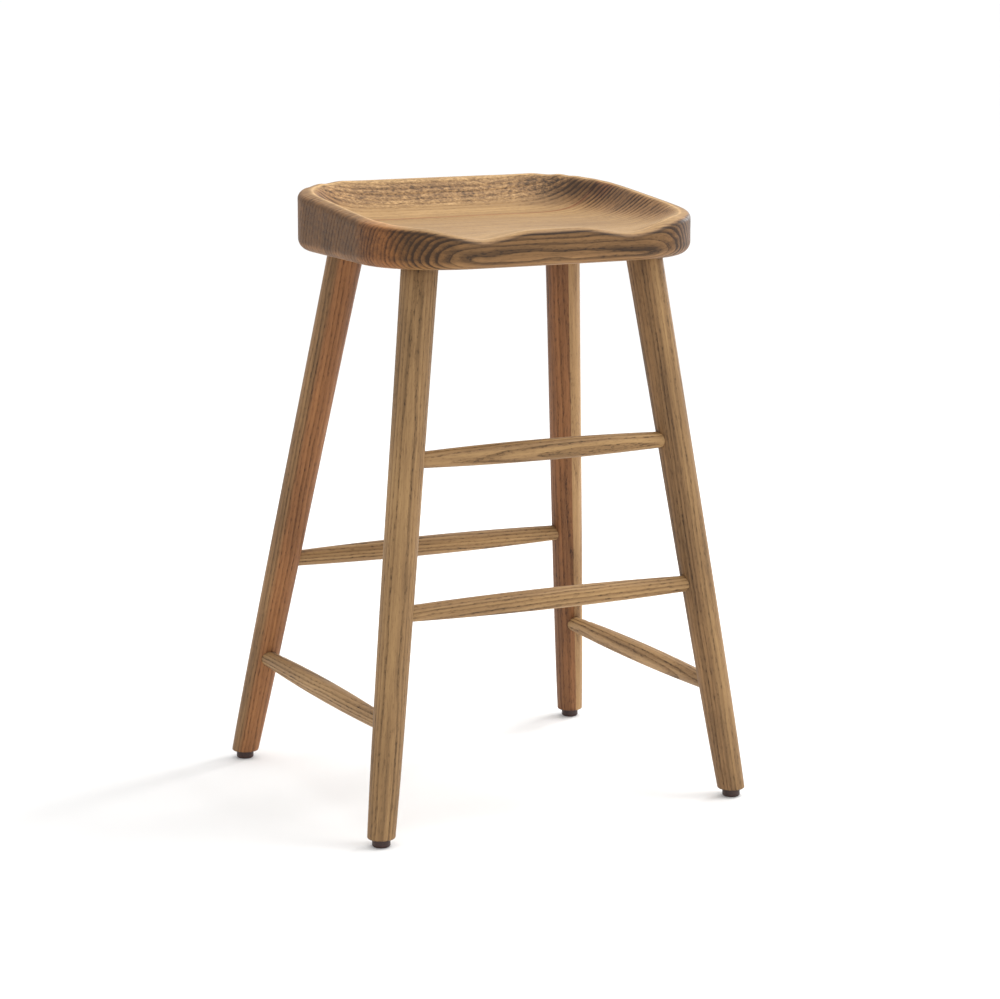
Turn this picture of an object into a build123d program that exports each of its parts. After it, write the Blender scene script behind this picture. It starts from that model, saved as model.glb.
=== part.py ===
from build123d import *
import os

# A bar stool with a scooped saddle seat, four splayed turned legs and five turned rungs.
# Millimetres, +Z up.  The origin is on the floor at the middle of the footprint; the
# front of the seat, with the pommel and the two footrest rungs, faces -Y.

# ---- legs -------------------------------------------------------------------------
FOOT_X = 242.0            # leg axis at the floor, left and right of the middle
FOOT_Y = 220.0            # leg axis at the floor, in front of and behind the middle
SHOULDER_X = 151.0        # leg axis where it meets the seat
FRONT_SHOULDER_Y = -142.0
BACK_SHOULDER_Y = 73.5
LEG_RADII = [(0, 16.6), (60, 18.0), (150, 19.25), (340, 20.6), (520, 21.3), (679.5, 22.4)]
LEG_FOOT_ROUNDING = 2.0
LEG_SPARE = 12.0          # turned past both ends, then cut off level
LEG_TENON_R = 15.0
LEG_TENON_DEPTH = 22.0
GLUE_GAP = 0.1            # radial room for glue round every tenon

# ---- rungs ------------------------------------------------------------------------
FRONT_UPPER_Z = 451.5
FRONT_LOWER_Z = 271.5
BACK_RUNG_Z = 272.5
SIDE_RUNG_Z = 141.0
RUNG_END_R = 10.0
RUNG_MIDDLE_R = 13.1
RUNG_TENON_DEPTH = 24.0
MORTISE_EXTRA_DEPTH = 1.0
TENON_CHAMFER = 1.0

# ---- seat -------------------------------------------------------------------------
SEAT_BOTTOM_Z = 679.5
SEAT_HALF_WIDTH = 219.5
SEAT_FRONT_Y = -219.0
SEAT_BACK_Y = 144.5
SEAT_FRONT_BOW = 5.0      # how far the middle of the front edge stands out past its ends
FRONT_CORNER_R = 110.0
BACK_CORNER_R = 98.0
BACK_RIM_HEIGHT = 79.2    # heights above the underside, before the rim is rounded
RIM_FALL = 33.5           # how much lower the rim is at the front, along an even slope
SHOULDER_FALL = 3.5       # how far the rim drops from its crest out to the wall
FRONT_DIP_HEIGHT = 33.8
SCOOP_FLOOR_HEIGHT = 33.0
RIM_CREST_REACH = 0.93    # the crest starts at this fraction of the way out to the wall
OUTLINE_POWER = 4.2       # squareness of the scoop's rounded-rectangle levels in plan
BACK_STEEPNESS = 7.0      # how late the scoop's back rises; higher is a flatter floor
SIDE_STEEPNESS = 13.0     # and its sides
CREST_ROUNDNESS = 1.7     # how softly the wall runs out into the crest
TINY = 1e-9               # keeps the middle of the scoop from dividing by zero
FRONT_OPEN_HALF_WIDTH = 95.0    # the rim is fully open between these places
FRONT_OPEN_SHOULDER = 75.0      # and climbs back to full height over this width
POMMEL_HEIGHT = 10.0      # above the dips beside it
POMMEL_HALF_WIDTH = 100.0
POMMEL_FLATNESS = 1.4     # 1 is a rounded top, more is a flatter one
POMMEL_OFFSET = -4.0      # the hand-shaped pommel stands a little left of the middle
POMMEL_START = 0.35       # it grows from this fraction of the way from middle to front
SEAT_LOWER_ROUNDING = 15.0
SEAT_RIM_ROUNDING = 8.0
BOARD_SEAMS_Y = [-122.0, -12.0, 62.0]
SCOOP_SECTIONS = 27       # profiles that the scoop is lofted through, front to back
SCOOP_POINTS = 59         # points across each profile
SCOOP_MARGIN = 8.0        # how far the scoop's cutter runs past the seat all round
BLANK_MARGIN = 20.0       # height of the seat blank above the finished back rim

# ---- glides -----------------------------------------------------------------------
GLIDE_R = 11.0
GLIDE_HEIGHT = 10.0
GLIDE_ROUNDING = 2.5
NAIL_HEAD_R = 3.5
NAIL_HEAD_THICK = 1.5
NAIL_SHANK_R = 1.2
NAIL_LENGTH = 24.0
NAIL_POINT = 1.0          # chamfer at the tip
NAIL_HEAD_Z = 2.0         # underside of the head, sunk clear of the floor
NAIL_GAP = 0.1

LEGS = {
    "front_left_leg": (-1, -1),
    "front_right_leg": (1, -1),
    "back_left_leg": (-1, 1),
    "back_right_leg": (1, 1),
}
RUNGS = {
    "front_upper_rung": ("front_left_leg", "front_right_leg", FRONT_UPPER_Z),
    "front_lower_rung": ("front_left_leg", "front_right_leg", FRONT_LOWER_Z),
    "back_rung": ("back_left_leg", "back_right_leg", BACK_RUNG_Z),
    "left_rung": ("front_left_leg", "back_left_leg", SIDE_RUNG_Z),
    "right_rung": ("front_right_leg", "back_right_leg", SIDE_RUNG_Z),
}


def axis_point(leg, z):
    """The point of a leg's axis at height z."""
    side, back = LEGS[leg]
    shoulder_y = FRONT_SHOULDER_Y if back < 0 else BACK_SHOULDER_Y
    foot = Vector(side * FOOT_X, back * FOOT_Y, 0)
    shoulder = Vector(side * SHOULDER_X, shoulder_y, SEAT_BOTTOM_Z)
    return foot + (shoulder - foot) * (z / SEAT_BOTTOM_Z)


def leg_radius(z):
    """Radius of a leg at height z, between the listed stations."""
    for (z0, r0), (z1, r1) in zip(LEG_RADII, LEG_RADII[1:]):
        if z <= z1:
            return r0 + (r1 - r0) * (z - z0) / (z1 - z0)
    return LEG_RADII[-1][1]


def leg_tenon_plane(leg, along):
    """A plane across a leg's axis, at a distance along it from the seat's underside."""
    shoulder = axis_point(leg, SEAT_BOTTOM_Z)
    return Plane(origin=shoulder, z_dir=shoulder - axis_point(leg, 0)).offset(along)


def turning_plane(start, direction):
    """A plane for half profiles: its Y axis is the turned piece's own axis."""
    across = Plane(origin=start, z_dir=direction).x_dir
    return Plane(origin=start, x_dir=across, z_dir=across.cross(direction))


def rung_line(rung):
    """Middle, direction and length of a rung's centre line, from leg axis to leg axis."""
    first, second, z = RUNGS[rung]
    start = axis_point(first, z)
    end = axis_point(second, z)
    return (start + end) / 2, (end - start).normalized(), (end - start).length


def export(builder, name):
    builder.part.label = name
    export_step(builder.part, f"parts/{name}.step")


def smooth_step(t):
    t = min(1.0, max(0.0, t))
    return t * t * (3 - 2 * t)


def scoop_height(x, y):
    """Height of the scooped seat top above the underside."""
    depth = SEAT_BACK_Y - SEAT_FRONT_Y
    middle_y = (SEAT_BACK_Y + SEAT_FRONT_Y) / 2
    v = (y - middle_y) / (depth / 2)
    from_back = (SEAT_BACK_Y - y) / depth
    level = abs(x / SEAT_HALF_WIDTH) ** OUTLINE_POWER + abs(v) ** OUTLINE_POWER
    spread = level ** (1 / OUTLINE_POWER) / RIM_CREST_REACH
    reach = min(1.0, spread)
    sideways = abs(x / SEAT_HALF_WIDTH) ** OUTLINE_POWER / max(level, TINY)
    steepness = BACK_STEEPNESS + (SIDE_STEEPNESS - BACK_STEEPNESS) * sideways
    rim = BACK_RIM_HEIGHT - RIM_FALL * from_back
    from_opening = (abs(x) - FRONT_OPEN_HALF_WIDTH) / FRONT_OPEN_SHOULDER
    open_front = (1 - smooth_step(from_opening)) * smooth_step(-v)
    edge = rim + (FRONT_DIP_HEIGHT - rim) * open_front
    rise = 1 - (1 - reach**steepness) ** CREST_ROUNDNESS
    bowl = SCOOP_FLOOR_HEIGHT + (edge - SCOOP_FLOOR_HEIGHT) * rise
    past_crest = max(0.0, spread - 1) / (1 / RIM_CREST_REACH - 1)
    shoulder = SHOULDER_FALL * past_crest**2 * (1 - open_front)
    across = min(1.0, abs(x - POMMEL_OFFSET) / POMMEL_HALF_WIDTH)
    forward = smooth_step((-v - POMMEL_START) / (1 - POMMEL_START))
    pommel = POMMEL_HEIGHT * smooth_step((1 - across) * POMMEL_FLATNESS) * forward
    return bowl - shoulder + pommel


def make_seat():
    """The whole seat blank, shaped, before it is cut into its boards."""
    reach_x = SEAT_HALF_WIDTH + SCOOP_MARGIN
    first_y = SEAT_FRONT_Y - SCOOP_MARGIN
    last_y = SEAT_BACK_Y + SCOOP_MARGIN
    clear_z = SEAT_BOTTOM_Z + 2 * BACK_RIM_HEIGHT
    xs = [reach_x * (2 * k / (SCOOP_POINTS - 1) - 1) for k in range(SCOOP_POINTS)]
    with BuildPart() as scoop:
        for i in range(SCOOP_SECTIONS):
            y = first_y + (last_y - first_y) * i / (SCOOP_SECTIONS - 1)
            with BuildSketch(Plane((0, y, 0), x_dir=(1, 0, 0), z_dir=(0, -1, 0))):
                with BuildLine():
                    Spline(*[(x, SEAT_BOTTOM_Z + scoop_height(x, y)) for x in xs])
                    Polyline(
                        (reach_x, SEAT_BOTTOM_Z + scoop_height(reach_x, y)),
                        (reach_x, clear_z),
                        (-reach_x, clear_z),
                        (-reach_x, SEAT_BOTTOM_Z + scoop_height(-reach_x, y)),
                    )
                make_face()
        loft()
    with BuildPart() as seat:
        with BuildSketch(Plane.XY.offset(SEAT_BOTTOM_Z)) as outline:
            with BuildLine():
                front_end_y = SEAT_FRONT_Y + SEAT_FRONT_BOW
                ThreePointArc(
                    (-SEAT_HALF_WIDTH, front_end_y),
                    (0, SEAT_FRONT_Y),
                    (SEAT_HALF_WIDTH, front_end_y),
                )
                Polyline(
                    (SEAT_HALF_WIDTH, front_end_y),
                    (SEAT_HALF_WIDTH, SEAT_BACK_Y),
                    (-SEAT_HALF_WIDTH, SEAT_BACK_Y),
                    (-SEAT_HALF_WIDTH, front_end_y),
                )
            make_face()
            fillet(outline.vertices().group_by(Axis.Y)[0], FRONT_CORNER_R)
            fillet(outline.vertices().group_by(Axis.Y)[-1], BACK_CORNER_R)
        extrude(amount=BACK_RIM_HEIGHT + BLANK_MARGIN)
        add(scoop.part, mode=Mode.SUBTRACT)
        underside = seat.faces().sort_by(Axis.Z)[0]
        fillet(underside.edges(), SEAT_LOWER_ROUNDING)
        dish = seat.faces().sort_by(Axis.Z)[-1]
        fillet(dish.outer_wire().edges(), SEAT_RIM_ROUNDING)
    return seat


def make_board(seat, name, front_y, back_y, legs):
    """One glued board of the seat, between two seams, with the sockets of its legs."""
    with BuildPart() as board:
        add(seat.part)
        if front_y is not None:
            split(bisect_by=Plane((0, front_y, 0), z_dir=(0, 1, 0)), keep=Keep.TOP)
        if back_y is not None:
            split(bisect_by=Plane((0, back_y, 0), z_dir=(0, 1, 0)), keep=Keep.BOTTOM)
        for leg in legs:
            with BuildSketch(leg_tenon_plane(leg, -LEG_TENON_DEPTH)):
                Circle(LEG_TENON_R + GLUE_GAP)
            extrude(amount=2 * LEG_TENON_DEPTH + MORTISE_EXTRA_DEPTH, mode=Mode.SUBTRACT)
    export(board, name)


def make_leg(name):
    """A turned leg: shoulder under the seat, tenon into it, mortises for its rungs."""
    foot = axis_point(name, 0)
    axis = axis_point(name, SEAT_BOTTOM_Z) - foot
    slant = axis.length / SEAT_BOTTOM_Z
    turned = [(r, z * slant) for z, r in LEG_RADII]
    with BuildPart() as leg:
        with BuildSketch(turning_plane(foot, axis)):
            with BuildLine():
                Spline(*turned)
                Polyline(
                    turned[-1],
                    (turned[-1][0], turned[-1][1] + LEG_SPARE),
                    (0, turned[-1][1] + LEG_SPARE),
                    (0, -LEG_SPARE),
                    (turned[0][0], -LEG_SPARE),
                    turned[0],
                )
            make_face()
        revolve(axis=Axis(foot, axis))
        split(bisect_by=Plane.XY.offset(GLIDE_HEIGHT), keep=Keep.TOP)
        split(bisect_by=Plane.XY.offset(SEAT_BOTTOM_Z), keep=Keep.BOTTOM)
        fillet(leg.edges().group_by(Axis.Z)[0], LEG_FOOT_ROUNDING)
        with BuildSketch(leg_tenon_plane(name, -LEG_TENON_DEPTH)):
            Circle(LEG_TENON_R)
        extrude(amount=2 * LEG_TENON_DEPTH)
        for first, second, z in RUNGS.values():
            if name not in (first, second):
                continue
            here = axis_point(name, z)
            other = axis_point(second if name == first else first, z)
            depth = RUNG_TENON_DEPTH + MORTISE_EXTRA_DEPTH
            mouth = Plane(origin=here, z_dir=other - here).offset(leg_radius(z))
            with BuildSketch(mouth.offset(-depth)):
                Circle(RUNG_END_R + GLUE_GAP)
            extrude(amount=2 * depth, mode=Mode.SUBTRACT)
        with BuildSketch(Plane(origin=axis_point(name, GLIDE_HEIGHT))):
            Circle(NAIL_SHANK_R + NAIL_GAP)
        extrude(amount=NAIL_LENGTH, mode=Mode.SUBTRACT)
    export(leg, name)


def make_rung(name):
    """A turned rung, fattest in the middle, with a plain round tenon at each end."""
    middle, direction, length = rung_line(name)
    half_body = length / 2 - leg_radius(RUNGS[name][2])
    half_length = half_body + RUNG_TENON_DEPTH
    with BuildPart() as rung:
        with BuildSketch(turning_plane(middle, direction)):
            with BuildLine():
                ThreePointArc(
                    (RUNG_END_R, -half_body), (RUNG_MIDDLE_R, 0), (RUNG_END_R, half_body)
                )
                Polyline(
                    (RUNG_END_R, half_body),
                    (RUNG_END_R, half_length - TENON_CHAMFER),
                    (RUNG_END_R - TENON_CHAMFER, half_length),
                    (0, half_length),
                    (0, -half_length),
                    (RUNG_END_R - TENON_CHAMFER, -half_length),
                    (RUNG_END_R, TENON_CHAMFER - half_length),
                    (RUNG_END_R, -half_body),
                )
            make_face()
        revolve(axis=Axis(middle, direction))
    export(rung, name)


def make_glide(name, leg):
    """A round moulded pad under a leg, with a sunk hole for its nail."""
    place = axis_point(leg, GLIDE_HEIGHT)
    with BuildPart() as glide:
        with BuildSketch(Plane(origin=(place.X, place.Y, 0))):
            Circle(GLIDE_R)
        extrude(amount=GLIDE_HEIGHT)
        fillet(glide.edges().group_by(Axis.Z)[0], GLIDE_ROUNDING)
        with Locations(Plane(origin=(place.X, place.Y, 0), z_dir=(0, 0, -1))):
            CounterBoreHole(
                radius=NAIL_SHANK_R + NAIL_GAP,
                counter_bore_radius=NAIL_HEAD_R + NAIL_GAP,
                counter_bore_depth=NAIL_HEAD_Z + NAIL_HEAD_THICK,
                depth=GLIDE_HEIGHT,
            )
    export(glide, name)


def make_nail(name, leg):
    """The nail that holds a glide, its head sunk in the pad."""
    place = axis_point(leg, GLIDE_HEIGHT)
    with BuildPart() as nail:
        with BuildSketch(Plane(origin=(place.X, place.Y, NAIL_HEAD_Z))):
            Circle(NAIL_HEAD_R)
        extrude(amount=NAIL_HEAD_THICK)
        with BuildSketch(Plane(origin=(place.X, place.Y, NAIL_HEAD_Z))):
            Circle(NAIL_SHANK_R)
        extrude(amount=NAIL_LENGTH)
        chamfer(nail.edges().group_by(Axis.Z)[-1], NAIL_POINT)
    export(nail, name)


os.makedirs("parts", exist_ok=True)
seat = make_seat()
front_seam, middle_seam, back_seam = BOARD_SEAMS_Y
front_legs = ["front_left_leg", "front_right_leg"]
back_legs = ["back_left_leg", "back_right_leg"]
make_board(seat, "seat_board_front", None, front_seam, front_legs)
make_board(seat, "seat_board_mid_front", front_seam, middle_seam, [])
make_board(seat, "seat_board_mid_back", middle_seam, back_seam, back_legs)
make_board(seat, "seat_board_back", back_seam, None, back_legs)
for rung_name in RUNGS:
    make_rung(rung_name)
for leg_name in LEGS:
    make_leg(leg_name)
    corner = leg_name.removesuffix("_leg")
    make_glide(corner + "_glide", leg_name)
    make_nail(corner + "_glide_nail", leg_name)
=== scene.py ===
import math
import random

import bpy
import numpy as np
from mathutils import Matrix, Vector


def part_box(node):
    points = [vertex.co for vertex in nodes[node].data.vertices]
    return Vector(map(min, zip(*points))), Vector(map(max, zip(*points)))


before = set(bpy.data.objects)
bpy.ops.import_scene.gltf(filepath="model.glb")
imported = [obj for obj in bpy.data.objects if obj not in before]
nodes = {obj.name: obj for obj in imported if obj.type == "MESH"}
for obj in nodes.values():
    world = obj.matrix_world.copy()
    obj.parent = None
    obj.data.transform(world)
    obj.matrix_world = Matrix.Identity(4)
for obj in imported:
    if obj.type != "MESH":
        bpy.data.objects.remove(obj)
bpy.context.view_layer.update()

MM = 0.001
RUNGS = ["front_upper_rung", "front_lower_rung", "back_rung", "left_rung", "right_rung"]


# ---------------------------------------------------------------- camera, light and floor

CAMERA_AZIMUTH = -26.37
CAMERA_ELEVATION = 10.83
CAMERA_DISTANCE = 3.7864
CAMERA_TARGET = Vector((0, -0.05326, 0.371))
CAMERA_LENS = 109.27
CAMERA_SHIFT = (-0.00091, -0.00055)
SENSOR_WIDTH = 36
VIEW_END = 500

# the room's brightness: where it is brightest (azimuth, elevation), and its levels (the cosine
# of the angle to that place, strength) at the dim end and the bright end
ROOM_BRIGHT_TOWARDS = (95, 58)
ROOM_DIM = (-0.75, 0.48)
ROOM_BRIGHT = (0.9, 1.22)
BACKDROP_STRENGTH = 1.05
# name, azimuth, elevation, distance (m), size (m), power (W); they point at the middle
SOFTBOXES = [
    ("key", 70, 58, 3.0, 1.4, 34),
    ("rim", 112, 16, 2.6, 0.6, 22),
]
SOFTBOX_TARGET = Vector((0, 0, 0.45))
FLOOR_HALF = 60
FLOOR_MOTTLE_SCALE = 3.0
FLOOR_ROUGHNESS = 0.9
FLOOR_DULL = (0.955, 0.955, 0.95)
FLOOR_CLEAN = (0.97, 0.97, 0.968)


def direction(azimuth, elevation):
    """Unit vector from the object towards a place; azimuth 0 is the front, 90 the right."""
    a = math.radians(azimuth)
    e = math.radians(elevation)
    return Vector((math.sin(a) * math.cos(e), -math.cos(a) * math.cos(e), math.sin(e)))


def look_from(thing, place, target):
    thing.location = place
    thing.rotation_euler = (place - target).to_track_quat("Z", "Y").to_euler()


def add_camera():
    data = bpy.data.cameras.new("camera")
    data.lens = CAMERA_LENS
    data.sensor_width = SENSOR_WIDTH
    data.shift_x, data.shift_y = CAMERA_SHIFT
    data.clip_end = VIEW_END
    camera = bpy.data.objects.new("camera", data)
    bpy.context.scene.collection.objects.link(camera)
    place = CAMERA_TARGET + direction(CAMERA_AZIMUTH, CAMERA_ELEVATION) * CAMERA_DISTANCE
    look_from(camera, place, CAMERA_TARGET)
    bpy.context.scene.camera = camera


def add_softbox(name, azimuth, elevation, distance, size, watts):
    data = bpy.data.lights.new(name, "AREA")
    data.shape = "DISK"
    data.size = size
    data.energy = watts
    lamp = bpy.data.objects.new(name, data)
    bpy.context.scene.collection.objects.link(lamp)
    place = SOFTBOX_TARGET + direction(azimuth, elevation) * distance
    look_from(lamp, place, SOFTBOX_TARGET)


def add_world():
    """A white room: bright above and on the right, dimmer on the left, white behind the object."""
    world = bpy.data.worlds.new("studio")
    bpy.context.scene.world = world
    world.use_nodes = True
    tree = world.node_tree
    tree.nodes.clear()
    sky = tree.nodes.new("ShaderNodeTexCoord")
    bright = tree.nodes.new("ShaderNodeVectorMath")
    bright.operation = "DOT_PRODUCT"
    tree.links.new(sky.outputs["Generated"], bright.inputs[0])
    bright.inputs[1].default_value = direction(*ROOM_BRIGHT_TOWARDS)
    level = tree.nodes.new("ShaderNodeMapRange")
    tree.links.new(bright.outputs["Value"], level.inputs["Value"])
    for end, (cosine, strength) in (("Min", ROOM_DIM), ("Max", ROOM_BRIGHT)):
        level.inputs["From " + end].default_value = cosine
        level.inputs["To " + end].default_value = strength
    room = tree.nodes.new("ShaderNodeBackground")
    tree.links.new(level.outputs["Result"], room.inputs["Strength"])
    backdrop = tree.nodes.new("ShaderNodeBackground")
    backdrop.inputs["Strength"].default_value = BACKDROP_STRENGTH
    for shade in (room, backdrop):
        shade.inputs["Color"].default_value = (1, 1, 1, 1)
    ray = tree.nodes.new("ShaderNodeLightPath")
    choose = tree.nodes.new("ShaderNodeMixShader")
    tree.links.new(ray.outputs["Is Camera Ray"], choose.inputs[0])
    tree.links.new(room.outputs[0], choose.inputs[1])
    tree.links.new(backdrop.outputs[0], choose.inputs[2])
    out = tree.nodes.new("ShaderNodeOutputWorld")
    tree.links.new(choose.outputs[0], out.inputs["Surface"])


def add_floor():
    half = FLOOR_HALF
    corners = [(-half, -half, 0), (half, -half, 0), (half, half, 0), (-half, half, 0)]
    data = bpy.data.meshes.new("floor")
    data.from_pydata(corners, [], [(0, 1, 2, 3)])
    floor = bpy.data.objects.new("floor", data)
    bpy.context.scene.collection.objects.link(floor)
    paint = Graph("floor_paint")
    place = paint.node("ShaderNodeTexCoord").outputs["Object"]
    mottle = paint.noise(place, FLOOR_MOTTLE_SCALE, 3)
    colour = paint.ramp(mottle, [(0.3, FLOOR_DULL), (0.7, FLOOR_CLEAN)])
    paint.surface({"Base Color": colour, "Roughness": FLOOR_ROUGHNESS})
    floor.data.materials.append(paint.material)


# ---------------------------------------------------------------- shader building

def srgb(red, green, blue):
    """Linear colour of a 0-255 display colour."""
    return tuple(((c / 255 + 0.055) / 1.055) ** 2.4 for c in (red, green, blue))


class Graph:
    """A material's node tree, built by calls that take numbers, colours or sockets."""

    def __init__(self, name):
        self.material = bpy.data.materials.new(name)
        self.material.use_nodes = True
        self.tree = self.material.node_tree
        self.tree.nodes.clear()

    def node(self, kind, inputs=None, **settings):
        made = self.tree.nodes.new(kind)
        for key, value in settings.items():
            setattr(made, key, value)
        for key, value in (inputs or {}).items():
            socket = made.inputs[key]
            if isinstance(value, bpy.types.NodeSocket):
                self.tree.links.new(value, socket)
            else:
                socket.default_value = value
        return made

    def math(self, operation, *values, clamp=False):
        made = self.node("ShaderNodeMath", dict(enumerate(values)), operation=operation)
        made.use_clamp = clamp
        return made.outputs[0]

    def add(self, *values):
        total = values[0]
        for value in values[1:]:
            total = self.math("ADD", total, value)
        return total

    def times(self, *values):
        product = values[0]
        for value in values[1:]:
            product = self.math("MULTIPLY", product, value)
        return product

    def vector(self, operation, *values):
        return self.node("ShaderNodeVectorMath", dict(enumerate(values)), operation=operation)

    def stretch(self, vector, x, y, z):
        return self.vector("MULTIPLY", vector, (x, y, z)).outputs[0]

    def noise(self, vector, scale, detail, roughness=0.5, colour=False):
        made = self.node("ShaderNodeTexNoise", {"Vector": vector, "Scale": scale,
                                                "Detail": detail, "Roughness": roughness})
        return made.outputs["Color" if colour else "Fac"]

    def rise(self, value, low, high, start=0.0, end=1.0):
        """Smooth step from start to end as value goes from low to high."""
        made = self.node("ShaderNodeMapRange", {"Value": value, "From Min": low, "From Max": high,
                                                "To Min": start, "To Max": end},
                         interpolation_type="SMOOTHSTEP")
        return made.outputs["Result"]

    def bump_at(self, value, middle, half_width):
        """1 at middle, falling smoothly to 0 at half_width to each side."""
        away = self.math("ABSOLUTE", self.math("SUBTRACT", value, middle))
        return self.rise(away, 0.0, half_width, 1.0, 0.0)

    def swing(self, value, amount):
        """A 0-1 noise turned into a value that swings amount to each side of 0."""
        return self.math("MULTIPLY_ADD", value, 2 * amount, -amount)

    def ramp(self, value, stops):
        made = self.node("ShaderNodeValToRGB", {"Fac": value})
        elements = made.color_ramp.elements
        for _ in range(len(stops) - 2):
            elements.new(0.5)
        for element, (place, colour) in zip(elements, stops):
            element.position = place
            element.color = (*colour, 1)
        return made.outputs["Color"]

    def tint(self, colour, factor, tint):
        """The colour multiplied by the tint where factor is 1, and left as it is where it is 0."""
        made = self.node("ShaderNodeMix", {0: factor, 6: colour, 7: (*tint, 1)},
                         data_type="RGBA", blend_type="MULTIPLY")
        return made.outputs[2]

    def surface(self, inputs):
        shader = self.node("ShaderNodeBsdfPrincipled", inputs)
        self.node("ShaderNodeOutputMaterial", {"Surface": shader.outputs["BSDF"]})


# ---------------------------------------------------------------- oak

# display colours of the oak from its lightest, darkness 0, to its darkest, darkness 1
OAK_TONES = [(0.0, (208, 171, 127)), (0.25, (174, 139, 98)), (0.5, (143, 111, 77)),
             (0.75, (102, 77, 51)), (1.0, (58, 42, 28))]

# what the oak's colour is multiplied by: everywhere, where it is red and where it is brown
OAK_TINT = (1.0, 0.98, 0.86)
RED_TINT = (1.0, 0.73, 0.60)
BROWN_TINT = (1.0, 0.79, 0.52)

# noise frequencies, per metre, twice across the fibres and once along them
SLOW_WAVES = (13, 13, 6)
QUICK_WAVES = (75, 75, 16)
CLOUD_GRAIN = (17, 17, 6)
STREAK_GRAIN = (170, 170, 5)
DASH_GRAIN = (560, 560, 130)
HAIR_GRAIN = (1300, 1300, 38)
# a ring's dark early wood fades by this share of its width, and the next one starts at this share
RING_FADE = 0.62
RING_NEXT = 0.86
WEAKEST_RING = 0.25
PORE_RANGE = (0.50, 0.68)
PORES_IN_LATE_WOOD = 0.30
PORES_IN_EARLY_WOOD = 0.75
# how the layers sink or raise the surface, and how they change its gloss
RING_RELIEF = -0.8
PORE_RELIEF = -0.8
HAIR_RELIEF = 0.35
RELIEF_DEPTH = 0.35
RELIEF_STRENGTH = 0.45
OAK_ROUGHNESS = 0.50
RING_ROUGHNESS = 0.16
HAIR_ROUGHNESS = 0.10
OAK_SPECULAR = 0.35


def tinted(colour, tint):
    return tuple(c * t for c, t in zip(srgb(*colour), tint))


def long_axis(node):
    """Middle and direction of a node's longest axis, with the direction's largest part positive."""
    points = np.array([v.co for v in nodes[node].data.vertices])
    middle = points.mean(axis=0)
    _, axes = np.linalg.eigh(np.cov((points - middle).T))
    axis = Vector(axes[:, 2])
    if axis[max(range(3), key=lambda i: abs(axis[i]))] < 0:
        axis.negate()
    return Vector(middle), axis


def grain_rotation(axis):
    """Rotation of a frame whose Z runs along the fibres."""
    side = axis.orthogonal().normalized()
    return Matrix((side, axis.cross(side), axis)).transposed().to_3x3().to_euler()


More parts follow.
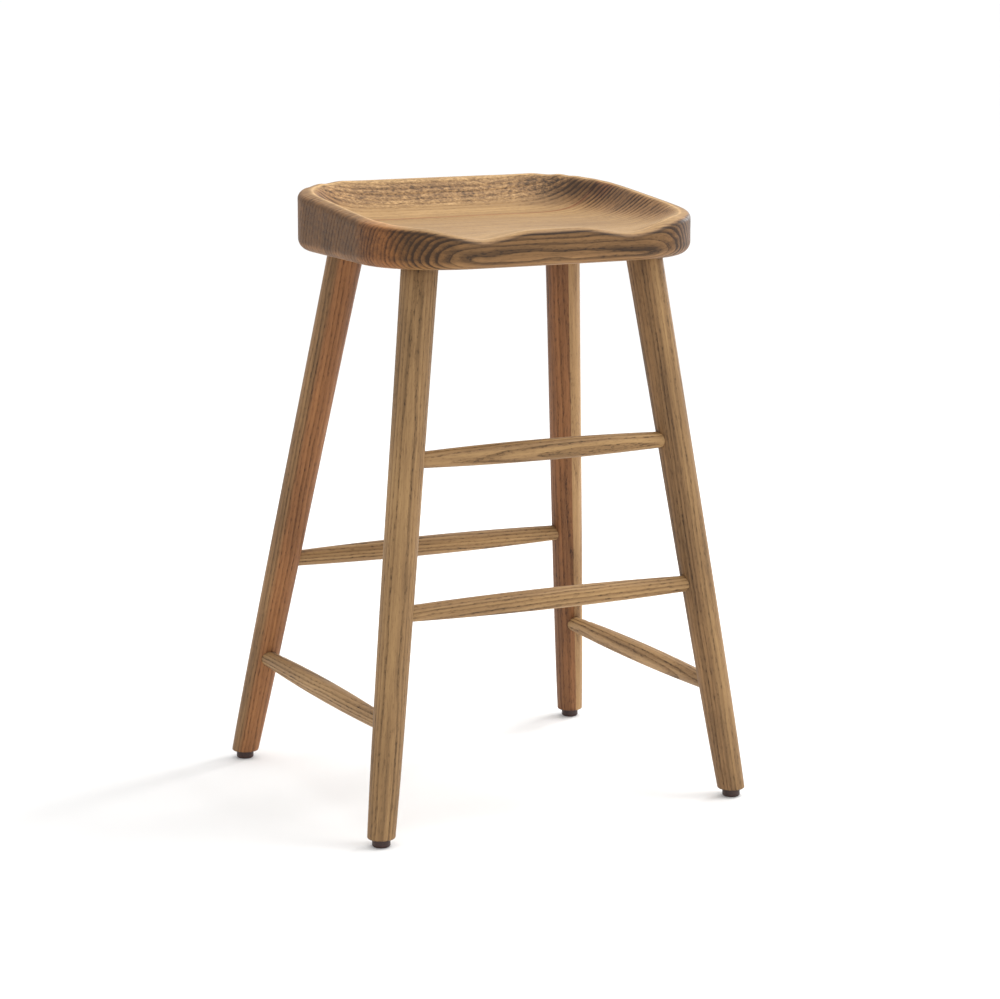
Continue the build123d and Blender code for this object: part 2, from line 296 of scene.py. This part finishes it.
class Oak(Graph):
    """Solid oak: growth rings round a pith line, pores, fibres and patches, cut by any surface.

    ring is the rings' width; warp and ripple are their slow and quick waviness, all in mm.
    """

    def __init__(self, name, pith, axis, ring, warp, ripple, seed):
        super().__init__(name)
        coords = self.node("ShaderNodeTexCoord")
        self.place = coords.outputs["Object"]
        self.normal = coords.outputs["Normal"]
        self.axis = axis
        frame_at_pith = {"Vector": self.place, "Location": pith, "Rotation": grain_rotation(axis)}
        mapping = self.node("ShaderNodeMapping", frame_at_pith, vector_type="TEXTURE")
        grain = mapping.outputs[0]
        self.shifted = self.vector("ADD", grain, (seed, seed * 0.7, seed * 1.3)).outputs[0]
        slow = self.noise(self.stretch(self.shifted, *SLOW_WAVES), 1.0, 2, colour=True)
        quick = self.noise(self.stretch(self.shifted, *QUICK_WAVES), 1.0, 3, colour=True)
        bent = grain
        for wobble, amount in ((slow, warp * MM), (quick, ripple * MM)):
            centred = self.vector("SUBTRACT", wobble, (0.5, 0.5, 0.5)).outputs[0]
            scaled = self.stretch(centred, 2 * amount, 2 * amount, 0)
            bent = self.vector("ADD", bent, scaled).outputs[0]
        across_fibres = self.stretch(bent, 1, 1, 0)
        self.radius = self.vector("LENGTH", across_fibres).outputs["Value"]
        self.ring = ring * MM
        self.seed = seed

    def darkness(self, base, rings, streaks, patches, pores, fibres):
        """How dark the wood is, 0 to 1, before marks; also keeps the layers for bump and gloss."""
        count = self.math("DIVIDE", self.radius, self.ring)
        index = self.math("FLOOR", count)
        phase = self.math("FRACT", count)
        chance = self.node("ShaderNodeTexWhiteNoise", {"W": self.math("ADD", index, self.seed)},
                           noise_dimensions="1D").outputs["Value"]
        fading = self.rise(phase, 0.0, RING_FADE, 1.0, 0.0)
        starting = self.rise(phase, RING_NEXT, 1.0)
        early = self.math("MAXIMUM", fading, starting)
        strength = self.math("MULTIPLY_ADD", chance, 1 - WEAKEST_RING, WEAKEST_RING)
        self.early = self.times(early, strength)
        self.ring_marks = self.times(self.early, rings)
        long_streak = self.noise(self.stretch(self.shifted, *STREAK_GRAIN), 1.0, 3, 0.55)
        dashes = self.noise(self.stretch(self.shifted, *DASH_GRAIN), 1.0, 3, 0.6)
        cloud = self.noise(self.stretch(self.shifted, *CLOUD_GRAIN), 1.0, 3)
        self.hair = self.noise(self.stretch(self.shifted, *HAIR_GRAIN), 1.0, 2)
        where_porous = self.math("MULTIPLY_ADD", self.early, PORES_IN_EARLY_WOOD,
                                 PORES_IN_LATE_WOOD)
        self.pores = self.times(self.rise(dashes, *PORE_RANGE), where_porous)
        return self.add(base, self.ring_marks, self.swing(long_streak, streaks),
                        self.swing(cloud, patches), self.swing(self.hair, fibres),
                        self.times(self.pores, pores))

    def corner_shade(self, reach):
        """Painted shade, with dark wax, that gathers within reach mm of a corner, 0 to 1."""
        open_air = self.node("ShaderNodeAmbientOcclusion", {"Distance": reach * MM}, samples=6)
        return self.rise(open_air.outputs["AO"], 0.25, 0.75, 1.0, 0.0)

    def end_grain(self):
        """1 where the surface cuts across the fibres, 0 along them."""
        along = self.vector("DOT_PRODUCT", self.normal, tuple(self.axis)).outputs["Value"]
        return self.rise(self.math("ABSOLUTE", along), 0.10, 0.70)

    def finish(self, dark, red=None, brown=None):
        """Waxed oak with the given darkness; red and brown are sockets from 0 to 1."""
        colour = self.ramp(dark, [(place, tinted(tone, OAK_TINT)) for place, tone in OAK_TONES])
        if red is not None:
            colour = self.tint(colour, red, RED_TINT)
        if brown is not None:
            colour = self.tint(colour, brown, BROWN_TINT)
        relief = self.add(self.times(self.ring_marks, RING_RELIEF),
                          self.times(self.pores, PORE_RELIEF),
                          self.times(self.hair, HAIR_RELIEF))
        bump = self.node("ShaderNodeBump", {"Height": relief, "Strength": RELIEF_STRENGTH,
                                            "Distance": RELIEF_DEPTH * MM})
        rough = self.math("MULTIPLY_ADD", self.early, RING_ROUGHNESS, OAK_ROUGHNESS)
        rough = self.math("MULTIPLY_ADD", self.hair, HAIR_ROUGHNESS, rough)
        self.surface({"Base Color": colour, "Roughness": rough,
                      "Specular IOR Level": OAK_SPECULAR, "Normal": bump.outputs["Normal"]})
        return self.material


def give(node, material):
    slots = nodes[node].data.materials
    if not slots:
        slots.append(material)
    for index in range(len(slots)):
        slots[index] = material


# name: pith distance (mm), pith bearing (degrees), ring width (mm), base darkness
LEG_LOOKS = {
    "front_left_leg": (52, 200, 4.6, 0.43),
    "front_right_leg": (38, 250, 4.8, 0.60),
    "back_left_leg": (46, 120, 5.0, 0.57),
    "back_right_leg": (60, 60, 5.4, 0.56),
}
# A leg may be turned from two staves glued side by side: where the glue line lies, mm from the
# axis towards STAVE_SIDE, how soft it looks, how the wood's darkness changes across it, and the
# redness of the wood before and after it. STAVE_SIDE runs across the camera's view towards the
# light on the right, so the lighter wood past the glue line is partly the stave's own tone and
# partly painted light.
STAVES = {
    "front_left_leg": (0, 40, 0.0, 0.0, 0.0),
    "front_right_leg": (4, 9, -0.16, 0.15, 0.0),
    "back_left_leg": (-8, 9, -0.10, 0.2, 1.0),
    "back_right_leg": (8.5, 1.0, -0.26, 1.0, 0.1),
}
STAVE_BEARING = math.radians(-26.37)       # from +X, turned towards the front
STAVE_SIDE = Vector((math.cos(STAVE_BEARING), math.sin(STAVE_BEARING), 0))
LEG_LAYERS = {"rings": 0.20, "streaks": 0.26, "patches": 0.22, "pores": 0.30, "fibres": 0.18}
LEG_SEED = 11
LEG_WARP = 3.5
LEG_RIPPLE = 0.9
LEG_PITH_LEAN = 0.012
# how far the painted shade in the legs' corners reaches (mm), and how dark it gets
LEG_SHADE_REACH = 20
LEG_CORNER_SHADE = 0.34


def paint_legs():
    draw = random.Random(LEG_SEED)
    for leg, (distance, bearing, ring, base) in LEG_LOOKS.items():
        middle, axis = long_axis(leg)
        side = Matrix.Rotation(math.radians(bearing), 3, axis) @ axis.orthogonal().normalized()
        lean = (axis + side * LEG_PITH_LEAN).normalized()
        oak = Oak(leg + "_oak", middle + side * distance * MM, lean, ring, LEG_WARP, LEG_RIPPLE,
                  draw.uniform(1, 20))
        place, softness, tone_and_light_step, red_left, red_right = STAVES[leg]
        across = (STAVE_SIDE - axis * axis.dot(STAVE_SIDE)).normalized()
        from_axis = oak.vector("SUBTRACT", oak.place, tuple(middle)).outputs[0]
        right = oak.vector("DOT_PRODUCT", from_axis, tuple(across)).outputs["Value"]
        stave = oak.rise(right, (place - softness / 2) * MM, (place + softness / 2) * MM)
        dark = oak.darkness(base, **LEG_LAYERS)
        # painted shade where the seat and the rungs meet the leg
        corner_shade = oak.times(oak.corner_shade(LEG_SHADE_REACH), LEG_CORNER_SHADE)
        # the step in darkness across the glue line, lighter towards the light, is partly painted
        # light
        dark = oak.add(dark, corner_shade, oak.times(stave, tone_and_light_step))
        red = oak.math("MULTIPLY_ADD", stave, red_right - red_left, red_left)
        give(leg, oak.finish(dark, red))


RUNG_LAYERS = {"rings": 0.32, "streaks": 0.30, "patches": 0.20, "pores": 0.46, "fibres": 0.12}
RUNG_SEED = 23
RUNG_RING = 4.4
RUNG_WARP = 3.0
RUNG_RIPPLE = 1.2
RUNG_PITH_DISTANCE = (22, 40)
RUNG_PITH_LEAN = 0.02
RUNG_DARKNESS = 0.34
# how far the painted shade at the rungs' ends reaches (mm), and how dark it gets
RUNG_SHADE_REACH = 10
RUNG_CORNER_SHADE = 0.35


def paint_rungs():
    draw = random.Random(RUNG_SEED)
    for rung in RUNGS:
        middle, axis = long_axis(rung)
        bearing = draw.uniform(0, 2 * math.pi)
        side = Matrix.Rotation(bearing, 3, axis) @ axis.orthogonal().normalized()
        lean = (axis + side * RUNG_PITH_LEAN).normalized()
        pith = middle + side * draw.uniform(*RUNG_PITH_DISTANCE) * MM
        oak = Oak(rung + "_oak", pith, lean, RUNG_RING, RUNG_WARP, RUNG_RIPPLE,
                  draw.uniform(1, 20))
        dark = oak.darkness(RUNG_DARKNESS, **RUNG_LAYERS)
        # painted shade at the rung's ends, where they enter the legs
        dark = oak.add(dark, oak.times(oak.corner_shade(RUNG_SHADE_REACH), RUNG_CORNER_SHADE))
        give(rung, oak.finish(dark))


# name: pith y and height above the seat's underside (mm), ring width (mm), slow and quick
# waviness (mm), base darkness
BOARD_LOOKS = {
    "seat_board_front": (-232, 10, 5.4, 4.6, 2.0, 0.26),
    "seat_board_mid_front": (-262, -75, 8.0, 3.0, 1.0, 0.29),
    "seat_board_mid_back": (-250, -60, 8.0, 3.0, 1.0, 0.28),
    "seat_board_back": (-250, -20, 7.0, 3.0, 1.0, 0.23),
}
SEAT_LAYERS = {"streaks": 0.24, "patches": 0.20, "pores": 0.30, "fibres": 0.12}
SEAT_SEED = 5
SEAT_HALF_WIDTH = 219.5
SEAT_FRONT = -219
SEAT_BACK = 144.5
SEAT_SQUARENESS = 4.2
# places given as reach, 0 in the middle of the seat and 1 at its outline
INSIDE_ENDS = (0.915, 0.94)
CREST_REACH = 0.935
CREST_HALF_WIDTH = 0.012
SHOULDER_RISES = (0.935, 0.965)
SHOULDER_TONE = 0.6        # how much of the side's tone the rim's outer shoulder takes
# places given as x or y (mm)
SHOULDER_STARTS_Y = (-190, -100)
SHADED_LIP_ENDS_Y = (-190, -140)
# where the painted shade on the front edge's rounding fades out towards the back
QUIET_LEFT_X = (-216, -160)
RED_STRIPE_Y = 62
RED_STRIPE_HALF_WIDTH = 3.5
FLECKS_START_Y = (90, 104)
# how high above the underside the painted shade on the front edge's rounding begins
SHADED_LIP_HEIGHT = (22, 28)      # mm above the underside
# how strongly the rings show: in the bowl, more on the ends and the sides, and the share that is
# left on the quiet left end of the front board and of the others
RINGS_IN_BOWL = 0.10
RINGS_ON_ENDS = 0.26
RINGS_ON_SIDES = 0.36
QUIET_FRONT_BOARD = 0.35
QUIET_OTHER_BOARDS = 0.08
# darkened or reddened places in the bowl: x, y and radius (mm)
DARK_CORNER = (150, 116, 62)
# the inside of the right wall, which faces away from the light, is darkened: partly its closely
# spaced rings, partly painted shade
DARK_WALL = (196, 80, 44)
DARK_WALL_LEVEL = 0.6
RED_WALL = (206, 44, 26)
# and on the outside of the seat, at its front left
RED_SIDE = (-214, -150, 52)
RED_SIDE_LEVEL = 0.6
DARK_SIDE = (-222, -136, 26)
# how much darker the oak is in each place; less than 0 is lighter
# The marks on faces that don't face up, on the front edge's rounding and on the bowl's sideways
# walls are painted shade, and the lightening of faces that look down is painted bounce light.
SEAT_MARKS = {
    "side": 0.34, "end": 0.16, "shaded_lip": 0.20, "crest": -0.22, "painted_bounce": -0.16, "corner": 0.20,
    "stripe": 0.18, "red_wall": 0.10, "shaded_slope": 0.02, "dark_side": 0.08, "red_side": -0.20,
}
BROWN_ON_SIDES = 0.45
BROWN_ON_ENDS = 0.55
# the speckled back of the bowl: noise frequencies per metre along x, y and z, and strengths
FLECKED_BOARDS = ("seat_board_mid_back", "seat_board_back")
FLECK_GRAIN = (190, 330, 330)
FLECK_STRENGTH = 0.85
BLOTCH_GRAIN = (45, 110, 110)
BLOTCH_STRENGTH = 0.30
# how far the painted shade in the seat's corners reaches (mm), and how dark it gets
SEAT_SHADE_REACH = 14
SEAT_CORNER_SHADE = 0.25


def seat_reach(oak, x, y):
    """1 on the seat's outline and less inside it."""
    middle = (SEAT_FRONT + SEAT_BACK) / 2 * MM
    half_depth = (SEAT_BACK - SEAT_FRONT) / 2 * MM
    terms = []
    for value, half in ((x, SEAT_HALF_WIDTH * MM), (oak.math("SUBTRACT", y, middle), half_depth)):
        share = oak.math("ABSOLUTE", oak.math("DIVIDE", value, half))
        terms.append(oak.math("POWER", share, SEAT_SQUARENESS))
    return oak.math("POWER", oak.add(*terms), 1 / SEAT_SQUARENESS)


def spot_near(oak, spot):
    """1 at a place on the seat, seen from above, falling to 0 at its radius."""
    x, y, radius = spot
    level = oak.stretch(oak.place, 1, 1, 0)
    away = oak.vector("DISTANCE", level, (x * MM, y * MM, 0)).outputs["Value"]
    return oak.rise(away, radius * 0.25 * MM, radius * MM, 1.0, 0.0)


def mm_range(ends, start=0.0):
    """Two places in mm, measured from start, in metres."""
    return [start + end * MM for end in ends]


def seat_places(oak, seat_low):
    """Masks, each 1 in one place on the seat and 0 elsewhere, by name."""
    x, y, z = oak.node("ShaderNodeSeparateXYZ", {0: oak.place}).outputs
    across, _, up = oak.node("ShaderNodeSeparateXYZ", {0: oak.normal}).outputs
    reach = seat_reach(oak, x, y)
    inside = oak.rise(reach, *INSIDE_ENDS, 1.0, 0.0)
    outside = oak.math("SUBTRACT", 1.0, inside)
    shoulder = oak.times(oak.rise(reach, *SHOULDER_RISES),
                         oak.rise(y, *mm_range(SHOULDER_STARTS_Y)))
    light_shoulder = oak.math("SUBTRACT", 1.0, oak.times(shoulder, SHOULDER_TONE))
    # Faces that don't face up, and part of the rim's outer shoulder, are darkened through the mask
    # below: partly a darker finish on the sides, partly painted shade for light that comes from
    # above.
    top = oak.times(oak.rise(up, 0.35, 0.95), light_shoulder)
    dark_wall = oak.times(spot_near(oak, DARK_WALL), DARK_WALL_LEVEL)
    return {
        "side": oak.math("SUBTRACT", 1.0, top),
        "end": oak.end_grain(),
        # faces that look down are lightened: painted bounce light from the floor
        "painted_bounce": oak.rise(up, -0.5, -0.1, 1.0, 0.0),
        "crest": oak.times(oak.bump_at(reach, CREST_REACH, CREST_HALF_WIDTH),
                           oak.rise(up, 0.3, 0.8)),
        # the front edge's rounding, between the light top and the darker front face, is darkened:
        # painted shade
        "shaded_lip": oak.times(oak.bump_at(up, 0.45, 0.40),
                         oak.rise(y, *mm_range(SHADED_LIP_ENDS_Y), 1.0, 0.0),
                         oak.rise(z, *mm_range(SHADED_LIP_HEIGHT, seat_low))),
        "stripe": oak.times(oak.bump_at(y, RED_STRIPE_Y * MM, RED_STRIPE_HALF_WIDTH * MM),
                            inside),
        "corner": oak.times(oak.add(spot_near(oak, DARK_CORNER), dark_wall), inside),
        # the bowl's walls that face sideways are darkened a little: painted shade
        "shaded_slope": oak.times(oak.rise(oak.math("ABSOLUTE", across), 0.15, 0.6), inside),
        "red_wall": oak.times(spot_near(oak, RED_WALL), inside),
        "red_side": oak.times(spot_near(oak, RED_SIDE), outside),
        "dark_side": oak.times(spot_near(oak, DARK_SIDE), outside),
        "lively": oak.rise(x, *mm_range(QUIET_LEFT_X)),
        "speckled": oak.times(oak.rise(y, *mm_range(FLECKS_START_Y)), inside),
    }


def paint_seat():
    draw = random.Random(SEAT_SEED)
    seat_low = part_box("seat_board_front")[0].z
    for board, look in BOARD_LOOKS.items():
        pith_y, pith_height, ring, warp, ripple, base = look
        pith = Vector((0, pith_y * MM, seat_low + pith_height * MM))
        axis = Vector((1, draw.uniform(-0.02, 0.02), draw.uniform(-0.01, 0.01))).normalized()
        oak = Oak(board + "_oak", pith, axis, ring, warp, ripple, draw.uniform(1, 20))
        places = seat_places(oak, seat_low)
        # side holds the faces that don't face up, which carry painted shade
        side, end = places["side"], places["end"]
        quiet = QUIET_FRONT_BOARD if board == "seat_board_front" else QUIET_OTHER_BOARDS
        liveliness = oak.math("MULTIPLY_ADD", places["lively"], 1.0 - quiet, quiet)
        rings = oak.add(RINGS_IN_BOWL, oak.times(end, RINGS_ON_ENDS),
                        oak.times(side, RINGS_ON_SIDES))
        dark = oak.darkness(base, oak.times(rings, liveliness), **SEAT_LAYERS)
        marks = [oak.times(places[name], level) for name, level in SEAT_MARKS.items()]
        if board in FLECKED_BOARDS:
            flecks = oak.noise(oak.stretch(oak.place, *FLECK_GRAIN), 1.0, 3, 0.66)
            blotch = oak.noise(oak.stretch(oak.place, *BLOTCH_GRAIN), 1.0, 2)
            flecks = oak.add(oak.swing(flecks, FLECK_STRENGTH), oak.swing(blotch, BLOTCH_STRENGTH))
            marks.append(oak.times(flecks, places["speckled"]))
        # painted shade in the seat's corners and hollows is added here
        dark = oak.add(dark, *marks, oak.times(oak.corner_shade(SEAT_SHADE_REACH), SEAT_CORNER_SHADE))
        red = oak.add(places["stripe"], places["red_wall"],
                      oak.times(places["red_side"], RED_SIDE_LEVEL))
        brown = oak.add(oak.times(side, BROWN_ON_SIDES), oak.times(end, BROWN_ON_ENDS))
        give(board, oak.finish(dark, oak.math("MINIMUM", red, 1.0), brown))


# ---------------------------------------------------------------- glides and nails

PLASTIC_DARK = (44, 24, 20)
PLASTIC_SCUFFED = (74, 46, 38)
ZINC_DARK = (120, 122, 124)
ZINC_LIGHT = (168, 170, 172)


def paint_small_parts():
    plastic = Graph("glide_plastic")
    place = plastic.node("ShaderNodeTexCoord").outputs["Object"]
    scuffs = plastic.noise(plastic.stretch(place, 1, 1, 4), 260, 4, 0.6)
    colour = plastic.ramp(scuffs, [(0.35, srgb(*PLASTIC_DARK)), (0.7, srgb(*PLASTIC_SCUFFED))])
    bump = plastic.node("ShaderNodeBump", {"Height": scuffs, "Strength": 0.25,
                                           "Distance": 0.2 * MM})
    plastic.surface({"Base Color": colour, "Roughness": plastic.rise(scuffs, 0.3, 0.7, 0.38, 0.6),
                     "Normal": bump.outputs["Normal"]})
    zinc = Graph("nail_zinc")
    place = zinc.node("ShaderNodeTexCoord").outputs["Object"]
    spangle = zinc.noise(place, 900, 3)
    colour = zinc.ramp(spangle, [(0.3, srgb(*ZINC_DARK)), (0.7, srgb(*ZINC_LIGHT))])
    zinc.surface({"Base Color": colour, "Metallic": 1.0,
                  "Roughness": zinc.rise(spangle, 0.3, 0.7, 0.35, 0.55)})
    for name in nodes:
        if name.endswith("_glide"):
            give(name, plastic.material)
        elif name.endswith("_nail"):
            give(name, zinc.material)


# ---------------------------------------------------------------- scene

bpy.context.scene.view_settings.view_transform = "Standard"
add_camera()
add_world()
for softbox in SOFTBOXES:
    add_softbox(*softbox)
add_floor()
paint_legs()
paint_rungs()
paint_seat()
paint_small_parts()
